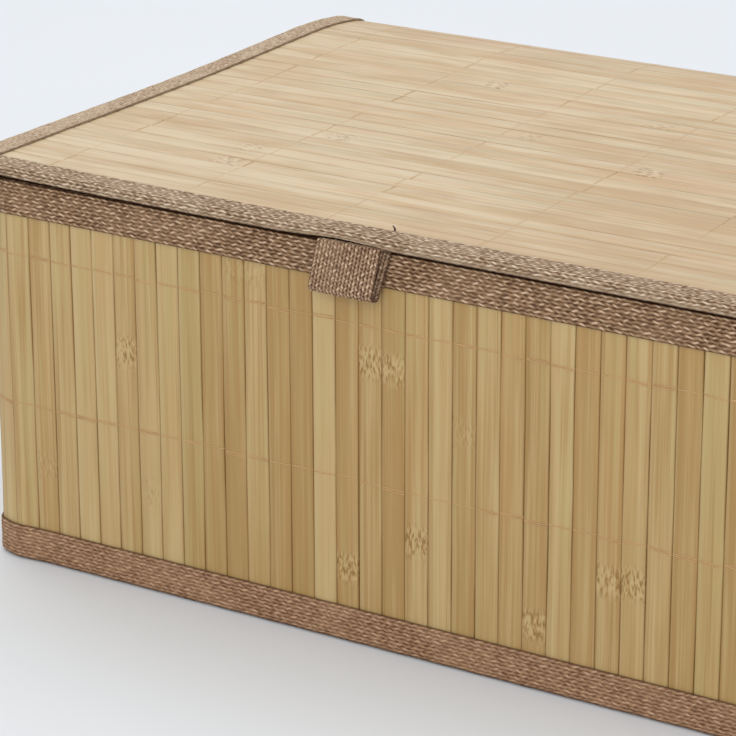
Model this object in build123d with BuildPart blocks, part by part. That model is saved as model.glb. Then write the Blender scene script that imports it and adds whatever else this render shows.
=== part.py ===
from build123d import *

import os
from math import cos, radians, sin, tan

# Storage box of slatted bamboo mats, bound in folded webbing, with a lid that rolls open at the back.
# Units are millimetres. +Z is up, the front faces -Y and the origin is the centre of the base, on the floor.

# Bamboo slats
slat_pitch = 8.2
slat_gap = 0.4
slat_thickness = 1.3
slat_ease = 0.3
front_slat_count = 32
side_slat_count = 25
corner_tilts = (22.5, 67.5)
corner_gap = 0.1

# Layers of the walls, from the outside in
backing_thickness = 0.3
board_thickness = 2.0
lining_thickness = 0.5

# Webbing, which is folded over every edge
webbing_thickness = 0.9
webbing_round = 2.0
webbing_corner = 4.0
rim_band_outside = 11.4
rim_band_inside = 9.0
base_band_outside = 12.0
base_band_under = 12.0

# Heights
rim_height = 130.1
base_cover_thickness = 0.4
base_board_thickness = 2.5
base_clearance = 0.3

# Lid
lid_clearance = 0.5
lid_lining_thickness = 0.3
lid_board_thickness = 0.4
lid_slat_count = 24
lid_overhang_side = 6.2
lid_overhang_front = 3.3
lid_edge_round = 1.4
lid_front_round = 1.7
lid_front_band_top = 9.3
lid_front_band_under = 8.0
lid_side_band = 9.3
lid_fit = 0.2

# Rear edge of the lid's mat: how far each slat falls from level, from the lid's board down to the hem
lid_rear_tilts = (0.5, 1.2, 3.3, 7.2)
hinge_tilt = 70.0
flap_tilts = (96.0, 98.0, 93.0)
hinge_seam_gap = 0.9

# Threads that tie the slats together
thread_width = 0.6
thread_height = 0.25
thread_spacing = 52.0
wall_thread_drop = 23.4
wall_thread_count = 2
lid_thread_first = -119.6
lid_thread_count = 5

# Pull tab, a folded loop of webbing
tab_width = 23.5
tab_off_centre = -2.0
tab_thickness = 0.9
tab_root_radius = 0.95
tab_loop_radius = 2.4
tab_length = 12.6
tab_lean = 8.0
tab_clearance = 0.3

# Walls: sizes that follow from those above
slat_width = slat_pitch - slat_gap
corner_run = slat_pitch * sum(cos(radians(tilt)) for tilt in corner_tilts)
flat_x = front_slat_count * slat_pitch
flat_y = side_slat_count * slat_pitch
body_x = flat_x + 2 * corner_run
body_y = flat_y + 2 * corner_run
board_inset = slat_thickness + backing_thickness
lining_inset = board_inset + board_thickness
wall_thickness = lining_inset + lining_thickness
wall_foot = webbing_thickness + base_cover_thickness
wall_top = rim_height - webbing_thickness
slat_height = wall_top - wall_foot

# Lid and hinge: sizes that follow
mat_thickness = backing_thickness + slat_thickness
bound_thickness = mat_thickness + webbing_thickness
lid_underside = rim_height + lid_clearance
lid_lining_foot = lid_underside + webbing_thickness
lid_board_foot = lid_lining_foot + lid_lining_thickness
mat_line = lid_board_foot + lid_board_thickness
lid_top = mat_line + bound_thickness
lid_x = body_x + 2 * lid_overhang_side
lid_front = -body_y / 2 - lid_overhang_front
cavity_front = lid_front + webbing_thickness
mat_front = cavity_front + lid_fit
cavity_half = lid_x / 2 - webbing_thickness
mat_half = cavity_half - lid_fit
board_rear = mat_front + lid_slat_count * slat_pitch
side_band_edge = lid_x / 2 - lid_side_band

os.makedirs("parts", exist_ok=True)


def save(piece, label):
    """Names one finished piece and writes it to its own file."""
    piece.label = label
    export_step(piece, f"parts/{label}.step")


def wall_outline(inset=0.0):
    """Plan outline of the walls, moved inwards: straight sides, and two whole slats round each corner."""
    side_end = (body_x / 2, flat_y / 2)
    front_end = (flat_x / 2, body_y / 2)
    first_tilt = radians(corner_tilts[0])
    middle = (side_end[0] - slat_pitch * sin(first_tilt), side_end[1] + slat_pitch * cos(first_tilt))
    corner = [side_end, middle, front_end]
    points = corner + [(-x, y) for x, y in reversed(corner)]
    points += [(-x, -y) for x, y in corner]
    points += [(x, -y) for x, y in reversed(corner)]
    with BuildSketch() as outline:
        with BuildLine():
            Polyline(*points, close=True)
        make_face()
        if inset:
            offset(amount=-inset, kind=Kind.INTERSECTION)
    return outline.sketch


def soft_outline(inset):
    """The same outline with its corners rounded, as folded webbing takes them."""
    with BuildSketch() as outline:
        add(wall_outline(inset))
        fillet(outline.vertices(), radius=webbing_corner)
    return outline.sketch


def wall_ring(foot, height, outside, inside):
    """A layer that runs round the walls, from one inset to another."""
    with BuildPart() as ring:
        with BuildSketch(Plane.XY.offset(foot)):
            add(wall_outline(outside))
            add(wall_outline(inside), mode=Mode.SUBTRACT)
        extrude(amount=height)
    return ring.part


def mirrored(piece, plane):
    """The mirror image of a piece, by itself."""
    with BuildPart() as image:
        add(piece)
        mirror(about=plane, mode=Mode.REPLACE)
    return image.part


def both_ends(piece):
    """A piece at the lid's right-hand end together with its mirror image at the left."""
    with BuildPart() as pair:
        add(piece)
        mirror(about=Plane.YZ)
    return pair.part


def step_along(start, tilt, run, rise=0.0):
    """The point that lies run along a slat that falls by tilt, and rise above the mat's line, as (y, z)."""
    angle = radians(tilt)
    return (
        start[0] + run * cos(angle) + rise * sin(angle),
        start[1] - run * sin(angle) + rise * cos(angle),
    )


def seam_points(start, tilts):
    """The seams between slats that follow one another from start."""
    points = [start]
    for tilt in tilts:
        points.append(step_along(points[-1], tilt, slat_pitch))
    return points


def trimmed(points, head, tail):
    """A line of points with its first and last stretch shortened, or lengthened where the amount is negative."""
    first = Vector(*points[0]) + (Vector(*points[1]) - Vector(*points[0])).normalized() * head
    last = Vector(*points[-1]) + (Vector(*points[-2]) - Vector(*points[-1])).normalized() * tail
    return [(first.X, first.Y), *points[1:-1], (last.X, last.Y)]


def raised(points, rise):
    """A line of points moved outwards by rise, mitred where it bends."""
    stretches = list(zip(points, points[1:]))
    normals = [Vector(a[1] - b[1], b[0] - a[0]).normalized() for a, b in stretches]
    moved = []
    for (y, z), before, after in zip(points, normals[:1] + normals, normals + normals[-1:]):
        mitre = (before + after).normalized()
        reach = rise / mitre.dot(before)
        moved.append((y + mitre.X * reach, z + mitre.Y * reach))
    return moved


def mat_band(points, low, high, from_x, to_x):
    """A layer that follows the lid's mat between two heights above its line, from one x to another."""
    with BuildPart() as layer:
        with BuildSketch(Plane.YZ.offset(from_x)):
            with BuildLine():
                Polyline(*raised(points, low), *reversed(raised(points, high)), close=True)
            make_face()
        extrude(amount=to_x - from_x)
    return layer.part


def mat_slats(seams, tilts):
    """The slats of one run of the lid's mat, tilted one by one, with their outer edges eased."""
    with BuildPart() as strips:
        for seam, tilt in zip(seams, tilts):
            centre = step_along(seam, tilt, slat_pitch / 2, backing_thickness + slat_thickness / 2)
            outward = Axis((0, 0, 0), (sin(radians(tilt)), cos(radians(tilt)), 0))
            with BuildSketch(Plane.YZ) as section:
                with Locations(centre):
                    Rectangle(slat_width, slat_thickness, rotation=-tilt)
                chamfer(section.vertices().sort_by(outward)[-2:], length=slat_ease)
            extrude(amount=mat_half, both=True)
    return strips.part


def mat_threads(points):
    """The threads on one run of the lid's mat."""
    with BuildPart() as threads:
        for i in range(lid_thread_count):
            left_side = lid_thread_first + i * thread_spacing - thread_width / 2
            add(mat_band(points, mat_thickness, mat_thickness + thread_height, left_side, left_side + thread_width))
    return threads.part


def edge_fold(points):
    """Webbing folded over the right-hand edge of a run of the mat."""
    with BuildPart() as fold:
        add(mat_band(points, -webbing_thickness, bound_thickness, side_band_edge, lid_x / 2))
        edges = fold.faces().sort_by(Axis.X)[-1].edges()
        fillet(edges.filter_by(lambda edge: edge.length > bound_thickness * 2), radius=lid_edge_round)
        add(mat_band(points, 0, mat_thickness, side_band_edge, cavity_half), mode=Mode.SUBTRACT)
    return fold.part


# Upright slats of the four walls
with BuildPart() as front_slats:
    with BuildSketch(Plane.XY.offset(wall_foot)) as section:
        with Locations((0, -(body_y - slat_thickness) / 2)):
            with GridLocations(slat_pitch, 1, front_slat_count, 1):
                Rectangle(slat_width, slat_thickness)
        chamfer(section.vertices().group_by(Axis.Y)[0], length=slat_ease)
    extrude(amount=slat_height)

with BuildPart() as left_slats:
    with BuildSketch(Plane.XY.offset(wall_foot)) as section:
        with Locations((-(body_x - slat_thickness) / 2, 0)):
            with GridLocations(1, slat_pitch, 1, side_slat_count):
                Rectangle(slat_thickness, slat_width)
        chamfer(section.vertices().group_by(Axis.X)[0], length=slat_ease)
    extrude(amount=slat_height)

save(front_slats.part, "front_slats")
save(mirrored(front_slats.part, Plane.XZ), "rear_slats")
save(left_slats.part, "left_slats")
save(mirrored(left_slats.part, Plane.YZ), "right_slats")

# Two slats turn each corner, cut back where their inner edges meet the next slat's
corner_start = Vector(body_x / 2, flat_y / 2)
half_bends = (corner_tilts[0] / 2, (corner_tilts[1] - corner_tilts[0]) / 2, (90 - corner_tilts[1]) / 2)
with BuildPart() as rear_right_corner:
    for tilt, bend_before, bend_after in zip(corner_tilts, half_bends, half_bends[1:]):
        along = Vector(-sin(radians(tilt)), cos(radians(tilt)))
        outward = Vector(cos(radians(tilt)), sin(radians(tilt)))
        cut_before = corner_gap + slat_thickness * tan(radians(bend_before))
        cut_after = corner_gap + slat_thickness * tan(radians(bend_after))
        centre = corner_start + along * ((slat_pitch + cut_before - cut_after) / 2) - outward * (slat_thickness / 2)
        with BuildSketch(Plane.XY.offset(wall_foot)) as section:
            with Locations((centre.X, centre.Y)):
                Rectangle(slat_thickness, slat_pitch - cut_before - cut_after, rotation=tilt)
            chamfer(section.vertices().sort_by(Axis((0, 0, 0), outward))[-2:], length=slat_ease)
        extrude(amount=slat_height)
        corner_start += along * slat_pitch

front_right_corner = mirrored(rear_right_corner.part, Plane.XZ)
save(rear_right_corner.part, "rear_right_corner_slats")
save(mirrored(rear_right_corner.part, Plane.YZ), "rear_left_corner_slats")
save(front_right_corner, "front_right_corner_slats")
save(mirrored(front_right_corner, Plane.YZ), "front_left_corner_slats")

# Cloth that the slats are glued to, and the lining inside
save(wall_ring(wall_foot, slat_height, slat_thickness, board_inset), "wall_backing")
save(wall_ring(wall_foot, slat_height, lining_inset, wall_thickness), "wall_lining")

# Stiff boards between backing and lining, which stop short of the corners
board_shortening = 2 * lining_inset * tan(radians(corner_tilts[0] / 2))
with BuildPart() as front_board:
    with BuildSketch(Plane.XY.offset(wall_foot)):
        with Locations((0, -(body_y / 2 - board_inset - board_thickness / 2))):
            Rectangle(flat_x - board_shortening, board_thickness)
    extrude(amount=slat_height)

with BuildPart() as left_board:
    with BuildSketch(Plane.XY.offset(wall_foot)):
        with Locations((-(body_x / 2 - board_inset - board_thickness / 2), 0)):
            Rectangle(board_thickness, flat_y - board_shortening)
    extrude(amount=slat_height)

save(front_board.part, "front_board")
save(mirrored(front_board.part, Plane.XZ), "rear_board")
save(left_board.part, "left_board")
save(mirrored(left_board.part, Plane.YZ), "right_board")

# Threads round the walls
with BuildPart() as wall_threads:
    for i in range(wall_thread_count):
        foot = rim_height - wall_thread_drop - i * thread_spacing - thread_width / 2
        add(wall_ring(foot, thread_width, -thread_height, 0))
save(wall_threads.part, "wall_threads")

# Base: cover cloth under the walls, board and lining between them
with BuildPart() as base_cover:
    with BuildSketch(Plane.XY.offset(webbing_thickness)):
        add(wall_outline())
    extrude(amount=base_cover_thickness)
save(base_cover.part, "base_cover")

with BuildPart() as base_board:
    with BuildSketch(Plane.XY.offset(wall_foot)):
        add(wall_outline(wall_thickness + base_clearance))
    extrude(amount=base_board_thickness)
save(base_board.part, "base_board")

with BuildPart() as base_lining:
    with BuildSketch(Plane.XY.offset(wall_foot + base_board_thickness)):
        add(wall_outline(wall_thickness + base_clearance))
    extrude(amount=lining_thickness)
save(base_lining.part, "base_lining")

# Webbing folded over the rim, with its outer leg longer than its inner one
with BuildPart() as rim_binding:
    with BuildSketch(Plane.XY.offset(rim_height - rim_band_outside)):
        add(soft_outline(-webbing_thickness))
        add(soft_outline(wall_thickness + webbing_thickness), mode=Mode.SUBTRACT)
    extrude(amount=rim_band_outside)
    fillet(rim_binding.edges().group_by(Axis.Z)[-1], radius=webbing_round)
    with BuildSketch(Plane.XY.offset(wall_top)):
        add(wall_outline())
        add(wall_outline(wall_thickness), mode=Mode.SUBTRACT)
    extrude(amount=-rim_band_outside, mode=Mode.SUBTRACT)
    with BuildSketch(Plane.XY.offset(rim_height - rim_band_inside)):
        add(wall_outline(wall_thickness))
    extrude(amount=-rim_band_outside, mode=Mode.SUBTRACT)
save(rim_binding.part, "rim_binding")

# Webbing folded under the base, which the box stands on
with BuildPart() as base_binding:
    with BuildSketch():
        add(soft_outline(-webbing_thickness))
        add(wall_outline(base_band_under), mode=Mode.SUBTRACT)
    extrude(amount=base_band_outside)
    fillet(base_binding.faces().sort_by(Axis.Z)[0].outer_wire().edges(), radius=webbing_round)
    with BuildSketch(Plane.XY.offset(webbing_thickness)):
        add(wall_outline())
    extrude(amount=base_band_outside, mode=Mode.SUBTRACT)
save(base_binding.part, "base_binding")

# Seams of the lid's mat, from its front edge over the rear rim and down to the hem, as (y, z)
lid_seams = seam_points((mat_front, mat_line), (0,) * lid_slat_count)
rear_seams = seam_points(lid_seams[-1], lid_rear_tilts)
hinge_seams = seam_points(rear_seams[-1], (hinge_tilt,))
flap_seams = seam_points(hinge_seams[-1], flap_tilts)
lid_line = trimmed([lid_seams[0], *rear_seams], 0, hinge_seam_gap)
hinge_line = trimmed(hinge_seams, hinge_seam_gap, hinge_seam_gap)

# Lid: its mat, with four slats past the board that slope to the rear rim
save(mat_slats(lid_seams, (0,) * lid_slat_count), "lid_slats")
save(mat_slats(rear_seams, lid_rear_tilts), "lid_rear_slats")
save(mat_band(lid_line, 0, backing_thickness, -mat_half, mat_half), "lid_backing")
thread_line = trimmed(lid_line, lid_front_band_top - webbing_thickness - lid_fit, 0)
save(mat_threads(thread_line), "lid_threads")

# Lid board, and the lining below it
board_centre = (0, (mat_front + board_rear) / 2)
with BuildPart() as lid_board:
    with BuildSketch(Plane.XY.offset(lid_board_foot)):
        with Locations(board_centre):
            Rectangle(2 * mat_half, board_rear - mat_front)
    extrude(amount=lid_board_thickness)
save(lid_board.part, "lid_board")

with BuildPart() as lid_lining:
    with BuildSketch(Plane.XY.offset(lid_lining_foot)):
        with Locations(board_centre):
            Rectangle(2 * mat_half, board_rear - mat_front)
    extrude(amount=lid_lining_thickness)
save(lid_lining.part, "lid_lining")

# Webbing folded over the lid's front edge, between the side bindings
low_corner = (Align.MIN, Align.MIN)
with BuildPart() as lid_front_binding:
    with BuildSketch(Plane.YZ) as section:
        with Locations((lid_front, lid_underside)):
            Rectangle(lid_front_band_top, lid_top - lid_underside, align=low_corner)
        fillet(section.vertices().group_by(Axis.X)[0], radius=lid_front_round)
        with Locations((cavity_front, lid_lining_foot)):
            Rectangle(lid_front_band_top, lid_top - webbing_thickness - lid_lining_foot,
                      align=low_corner, mode=Mode.SUBTRACT)
        with Locations((lid_front + lid_front_band_under, lid_underside)):
            Rectangle(lid_front_band_top, webbing_thickness, align=low_corner, mode=Mode.SUBTRACT)
    extrude(amount=side_band_edge, both=True)
save(lid_front_binding.part, "lid_front_binding")

# Webbing folded over the lid's side edges, round the board in front and round the bare mat behind it
side_outside = trimmed(lid_line, lid_front - mat_front, 0)
side_inside = trimmed([lid_seams[0], *rear_seams], cavity_front - mat_front, 0)
with BuildPart() as lid_right_binding:
    add(mat_band(side_outside, -webbing_thickness, bound_thickness, side_band_edge, lid_x / 2))
    with BuildSketch(Plane.YZ.offset(side_band_edge)):
        with Locations((lid_front, lid_underside)):
            Rectangle(board_rear + webbing_thickness - lid_front, mat_line - lid_underside, align=low_corner)
    extrude(amount=lid_side_band)
    outer_edges = lid_right_binding.faces().sort_by(Axis.X)[-1].edges()
    fillet(outer_edges.filter_by(lambda edge: edge.center().Z > mat_line and edge.length > bound_thickness * 2),
           radius=lid_edge_round)
    with BuildSketch(Plane.YZ.offset(side_band_edge)):
        with Locations((cavity_front, lid_lining_foot)):
            Rectangle(board_rear - cavity_front, mat_line - lid_lining_foot, align=low_corner)
    extrude(amount=cavity_half - side_band_edge, mode=Mode.SUBTRACT)
    add(mat_band(side_inside, 0, mat_thickness, side_band_edge, cavity_half), mode=Mode.SUBTRACT)
save(lid_right_binding.part, "lid_right_binding")
save(mirrored(lid_right_binding.part, Plane.YZ), "lid_left_binding")

# Hinge: the slat that rolls over the rear rim
save(mat_slats(hinge_seams, (hinge_tilt,)), "hinge_slat")
save(mat_band(hinge_line, 0, backing_thickness, -mat_half, mat_half), "hinge_backing")
save(mat_threads(hinge_line), "hinge_threads")
save(both_ends(edge_fold(hinge_line)), "hinge_bindings")

# Flap: the slats sewn to the rear wall, with webbing folded over their hem
flap_line = trimmed(flap_seams, hinge_seam_gap, 0)
hem_bend = radians(flap_tilts[-2] - flap_tilts[-1])
above_hem = trimmed(flap_line[:-1], 0, lid_fit + bound_thickness * tan(hem_bend))
hem_line = flap_seams[-2:]
save(mat_slats(flap_seams, flap_tilts), "flap_slats")
save(mat_band(flap_line, 0, backing_thickness, -mat_half, mat_half), "flap_backing")
save(mat_threads(above_hem), "flap_threads")
save(both_ends(edge_fold(above_hem)), "flap_bindings")

hem_outside = trimmed(hem_line, 0, -webbing_thickness - lid_fit)
hem_inside = trimmed(hem_line, 0, -lid_fit)
with BuildPart() as flap_hem:
    add(mat_band(hem_outside, -webbing_thickness, bound_thickness, -lid_x / 2, lid_x / 2))
    fillet(flap_hem.edges().filter_by(Axis.X).group_by(Axis.Z)[0], radius=lid_edge_round)
    add(mat_band(hem_inside, 0, mat_thickness, -cavity_half, cavity_half), mode=Mode.SUBTRACT)
save(flap_hem.part, "flap_hem")

# Pull tab, a loop whose root lies under the lid's front edge, just clear of the rim's webbing
tab_root = (
    -body_y / 2 - webbing_thickness - tab_clearance - tab_root_radius,
    lid_underside - tab_clearance - tab_root_radius,
)
tab_loop = (tab_root[0] - tab_length * sin(radians(tab_lean)), tab_root[1] - tab_length * cos(radians(tab_lean)))
with BuildPart() as pull_tab:
    with BuildSketch(Plane.YZ.offset(tab_off_centre)):
        for thickness, mode in ((0, Mode.ADD), (tab_thickness, Mode.SUBTRACT)):
            with BuildSketch(mode=Mode.PRIVATE) as loop:
                with Locations(tab_root):
                    Circle(tab_root_radius - thickness)
                with Locations(tab_loop):
                    Circle(tab_loop_radius - thickness)
                make_hull()
            add(loop.sketch, mode=mode)
    extrude(amount=tab_width / 2, both=True)
save(pull_tab.part, "pull_tab")

print("lid turns about y, z =", rear_seams[-1])
print("hinge slat turns about y, z =", hinge_seams[-1])
print("tab turns about y, z =", tab_root)
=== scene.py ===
from math import cos, pi, radians, sin, tan

import bpy
import numpy as np
from mathutils import Matrix, Vector


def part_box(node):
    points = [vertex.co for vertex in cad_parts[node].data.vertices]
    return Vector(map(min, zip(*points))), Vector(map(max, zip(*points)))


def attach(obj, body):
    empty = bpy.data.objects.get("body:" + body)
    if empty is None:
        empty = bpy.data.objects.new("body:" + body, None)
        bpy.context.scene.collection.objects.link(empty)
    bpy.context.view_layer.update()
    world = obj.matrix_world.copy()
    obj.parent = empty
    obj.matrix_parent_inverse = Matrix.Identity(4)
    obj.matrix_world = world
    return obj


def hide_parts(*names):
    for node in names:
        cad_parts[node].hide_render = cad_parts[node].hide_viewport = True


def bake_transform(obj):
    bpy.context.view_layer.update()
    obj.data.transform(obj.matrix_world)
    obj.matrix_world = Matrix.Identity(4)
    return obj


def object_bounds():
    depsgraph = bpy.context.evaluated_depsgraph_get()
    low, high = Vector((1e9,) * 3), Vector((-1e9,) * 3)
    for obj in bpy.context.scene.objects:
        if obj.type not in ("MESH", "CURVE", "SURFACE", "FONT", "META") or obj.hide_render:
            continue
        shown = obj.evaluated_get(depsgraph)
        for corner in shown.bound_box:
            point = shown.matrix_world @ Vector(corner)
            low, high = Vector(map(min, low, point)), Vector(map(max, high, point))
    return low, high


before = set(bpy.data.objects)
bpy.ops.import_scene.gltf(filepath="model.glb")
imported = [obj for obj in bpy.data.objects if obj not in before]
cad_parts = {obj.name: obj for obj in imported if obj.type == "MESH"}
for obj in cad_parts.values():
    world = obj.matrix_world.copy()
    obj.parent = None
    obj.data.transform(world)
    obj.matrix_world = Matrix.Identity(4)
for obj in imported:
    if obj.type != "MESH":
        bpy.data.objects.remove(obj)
cad_low, cad_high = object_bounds()

# Storage box of slatted bamboo, bound in webbing. Metres, +Z up, and the front faces -Y.
mm = 0.001

# Camera, at the photograph's place
camera_place = (0.50163, -0.91616, 0.43983)
camera_azimuth = 31.81
camera_elevation = 20.21
camera_roll = -0.157
camera_lens = 164.11

# Slats
slat_pitch = 8.2 * mm
slat_gap = 0.4 * mm
slat_spacing = 0.1 * mm
slat_crown = 0.1 * mm
slat_waver = 0.09 * mm
slat_sink = 0.1 * mm
corner_flatness = 0.85
backing_thickness = 0.3 * mm

# Webbing: its thickness, and the pitch of its yarns across and of its picks along
webbing_thickness = 0.9 * mm
yarn_pitch = 1.25 * mm
pick_pitch = 2.8 * mm
path_step = pick_pitch / 2
yarn_slant = 0.15
yarn_relief = 0.16 * mm
fold_radius = 2.0 * mm
lid_front_radius = 1.7 * mm
lid_fold_radius = 1.4 * mm
seam_radius = 1.2 * mm
rear_seam_radius = 4.0 * mm
rim_band_inside = 9.0 * mm
base_band_under = 12.0 * mm
lid_front_band_under = 8.0 * mm
tuck = 0.03 * mm

# How far across each band, from its outer edge, the points lie twice as close
rim_fine = 15.0 * mm
base_fine = 14.0 * mm
side_fine = 12.0 * mm
lid_front_fine = 16.0 * mm

# Thin sheets of the lid, and how far they are drawn back over the tab
cloth_thickness = 0.28 * mm
stiffener_thickness = 0.38 * mm
notch = 2.4 * mm

# Unevenness of the box in the photograph. The lid's front edge rises over the tab, its front left corner has
# lifted, it sags along its left side and rolls over at the rear; the walls' front left corner bulges. Each
# span goes from where a bend starts to where it is whole.
nose_lift = 1.3 * mm
nose_lean = 0.55
corner_lift = 1.6 * mm
corner_lift_reach = 34.0 * mm
side_sag = 0.9 * mm
side_sag_reach = 60.0 * mm
side_sag_middle = 10.0 * mm
side_sag_half = 95.0 * mm
rear_sag = 0.95 * mm
rear_sag_span = (82.0 * mm, 112.0 * mm)
rear_roll = 0.5 * mm
rear_roll_span = (107.0 * mm, 115.0 * mm)
above_hinge_span = (123.0 * mm, 130.0 * mm)
corner_bulge_x = 0.8 * mm
corner_bulge_y = 1.3 * mm
bulge_height = 200.0 * mm
bulge_span_x = (-118.0 * mm, -140.0 * mm)
bulge_span_y = (-70.0 * mm, -105.0 * mm)

# Hinge: the slats' tilts from the lid's board to the hem, and how far a bend reaches past its seam
lid_rear_tilts = (0.5, 1.2, 3.3, 7.2)
hinge_tilt = 70.0
flap_tilts = (96.0, 98.0, 93.0)
bend_reach = 3.0 * mm

# Threads
thread_radius = 0.19 * mm
mat_thread_radius = 0.1 * mm
thread_sink = 0.05 * mm
seam_inset = 0.35 * mm
wall_thread_spacing = 50.6 * mm
mat_thread_spacing = 52.0 * mm
thread_pair = 0.6 * mm
stitch_shift = 0.16 * mm
stitch_slant = 0.22 * mm
stitch_dip = 0.8 * mm
stitch_waver = 0.06 * mm

# Pull tab
tab_root_radius = 0.95 * mm
tab_loop_radius = 2.4 * mm
tab_length = 12.6 * mm
tab_lean = radians(8.0)
tab_thickness = 0.9 * mm
tab_clearance = 0.3 * mm
tab_rise = 1.1 * mm
tab_pitch = 1.4 * mm
tab_relief = 0.4 * mm

# Places of the bamboo's node marks on the front, plain and faint: slat number from the left, and height
front_marks = {5: 80, 15: 25, 16: 94, 17: 93, 18: 39, 23: 21, 26: 41, 27: 42}
faint_front_marks = {1: 35, 6: 34, 10: 116, 11: 115, 20: 78}

# Painted shade: how much deeper the lid's tone is at its front right, where less light falls, and from where
# to where it deepens
lid_front_painted_shade = 0.45
lid_front_painted_shade_x = (-40.0 * mm, 90.0 * mm)
lid_front_painted_shade_y = (80.0 * mm, -60.0 * mm)

# Slats of the front, from the left, that are darker or paler than the rest
darker_front_slats = (9, 10, 12, 13, 15, 16, 17, 20, 22, 23, 25, 29, 31)
paler_front_slats = (3, 4, 7, 14, 24)


def colour(code):
    """A colour written as six hex digits, in the linear values that a shader takes."""
    values = [int(code[i:i + 2], 16) / 255 for i in (0, 2, 4)]
    return [v / 12.92 if v <= 0.04045 else ((v + 0.055) / 1.055) ** 2.4 for v in values] + [1]


def smooth(value, start, end):
    """A share that goes from 0 at start to 1 at end without a kink."""
    share = np.clip((value - start) / (end - start), 0, 1)
    return share * share * (3 - 2 * share)


def heading(turn):
    """The unit vector at an angle in degrees."""
    return np.array((cos(radians(turn)), sin(radians(turn))))


def linked(name, data):
    """A new object, in the scene."""
    made = bpy.data.objects.new(name, data)
    bpy.context.scene.collection.objects.link(made)
    return made


def settled(points, walls):
    """Points of the walls or of the mat, moved to where use has bent them."""
    x, y, z = np.moveaxis(points, -1, 0)
    moved = points.copy()
    if walls:
        share = smooth(x, *bulge_span_x) * smooth(y, *bulge_span_y) * (1 - z / bulge_height)
        moved[..., 0] -= corner_bulge_x * share
        moved[..., 1] -= corner_bulge_y * share
        return moved
    from_left = x - cad_low[0]
    from_corner = np.maximum(from_left + y - cad_low[1], 0)
    leftness = 1 - from_left / (cad_high[0] - cad_low[0])
    above_hinge = smooth(z, *above_hinge_span)
    at_side = smooth(np.abs(y - side_sag_middle), side_sag_half, 0) * np.exp(-from_left / side_sag_reach)
    at_rear = smooth(y, *rear_sag_span) * above_hinge * (0.15 + 0.85 * leftness)
    moved[..., 2] += corner_lift * np.exp(-from_corner / corner_lift_reach) - side_sag * at_side
    moved[..., 2] -= rear_sag * at_rear + rear_roll * smooth(y, *rear_roll_span) * above_hinge
    return moved


class Shells:
    """Closed shells gathered into one mesh. Each is a row of rings of points, with named values at them."""

    def __init__(self):
        self.points = []
        self.faces = []
        self.values = {}
        self.count = 0

    def add(self, rings, closed=False, capped=True, **values):
        rows, size = rings.shape[:2]
        index = self.count + np.arange(rows * size).reshape(rows, size)
        here = index if closed else index[:-1]
        after = np.roll(index, -1, axis=0) if closed else index[1:]
        quads = np.stack([here, np.roll(here, -1, 1), np.roll(after, -1, 1), after], -1).reshape(-1, 4)
        corners = (rings.reshape(-1, 3) - rings.reshape(-1, 3).mean(0))[quads - self.count]
        first, second, third, fourth = np.moveaxis(corners, 1, 0)
        volume = np.sum(first * (np.cross(second, third) + np.cross(third, fourth)))
        faces = quads.tolist()
        if capped and not closed:
            faces += [index[0][::-1].tolist(), index[-1].tolist()]
        if volume < 0:
            faces = [face[::-1] for face in faces]
        self.faces += faces
        self.points.append(rings.reshape(-1, 3))
        for key, value in values.items():
            whole = np.broadcast_to(np.asarray(value, float), (rows, size))
            self.values.setdefault(key, []).append(whole.reshape(-1))
        self.count += rows * size

    def build(self, name, material, body, nodes, crease=50):
        """Makes the piece, which may ride on a body and replace CAD nodes."""
        points = np.concatenate(self.points)
        if "pull_tab" not in nodes:
            points = settled(points, body == "box")
        mesh = bpy.data.meshes.new(name)
        mesh.from_pydata(points.tolist(), [], self.faces)
        for key, parts in self.values.items():
            layer = mesh.attributes.new(key, "FLOAT", "POINT")
            layer.data.foreach_set("value", np.concatenate(parts).astype(np.float32))
        mesh.polygons.foreach_set("use_smooth", [True] * len(mesh.polygons))
        mesh.set_sharp_from_angle(angle=radians(crease))
        mesh.materials.append(material)
        piece = linked(name, mesh)
        if body:
            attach(piece, body)
        if nodes:
            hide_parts(*nodes)
        return piece


def wander(rng, along, amplitude, longest):
    """A smooth random line about zero, made of a few waves."""
    total = np.zeros_like(along)
    for i in range(1, 5):
        total += rng.normal() / i * np.sin(2 * pi * (along / longest * i + rng.random()))
    return total * amplitude / 1.2


class Shade:
    """What varies over a surface, as a shader node's output, with arithmetic."""

    def __init__(self, nodes, socket):
        self.nodes = nodes
        self.socket = socket

    def maths(self, operation, *others):
        return self.nodes.node("Math", dict(enumerate((self, *others))), operation=operation)

    def __add__(self, other):
        return self.maths("ADD", other)

    def __sub__(self, other):
        return self.maths("SUBTRACT", other)

    def __mul__(self, other):
        return self.maths("MULTIPLY", other)

    def __truediv__(self, other):
        return self.maths("DIVIDE", other)

    def __abs__(self):
        return self.maths("ABSOLUTE")

    def between(self, low, high, start=0.0, end=1.0):
        """A number that goes from start, where this one is low, to end, where it is high."""
        values = {"Value": self, "From Min": low, "From Max": high, "To Min": start, "To Max": end}
        return self.nodes.node("MapRange", values, interpolation_type="SMOOTHSTEP")


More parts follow.
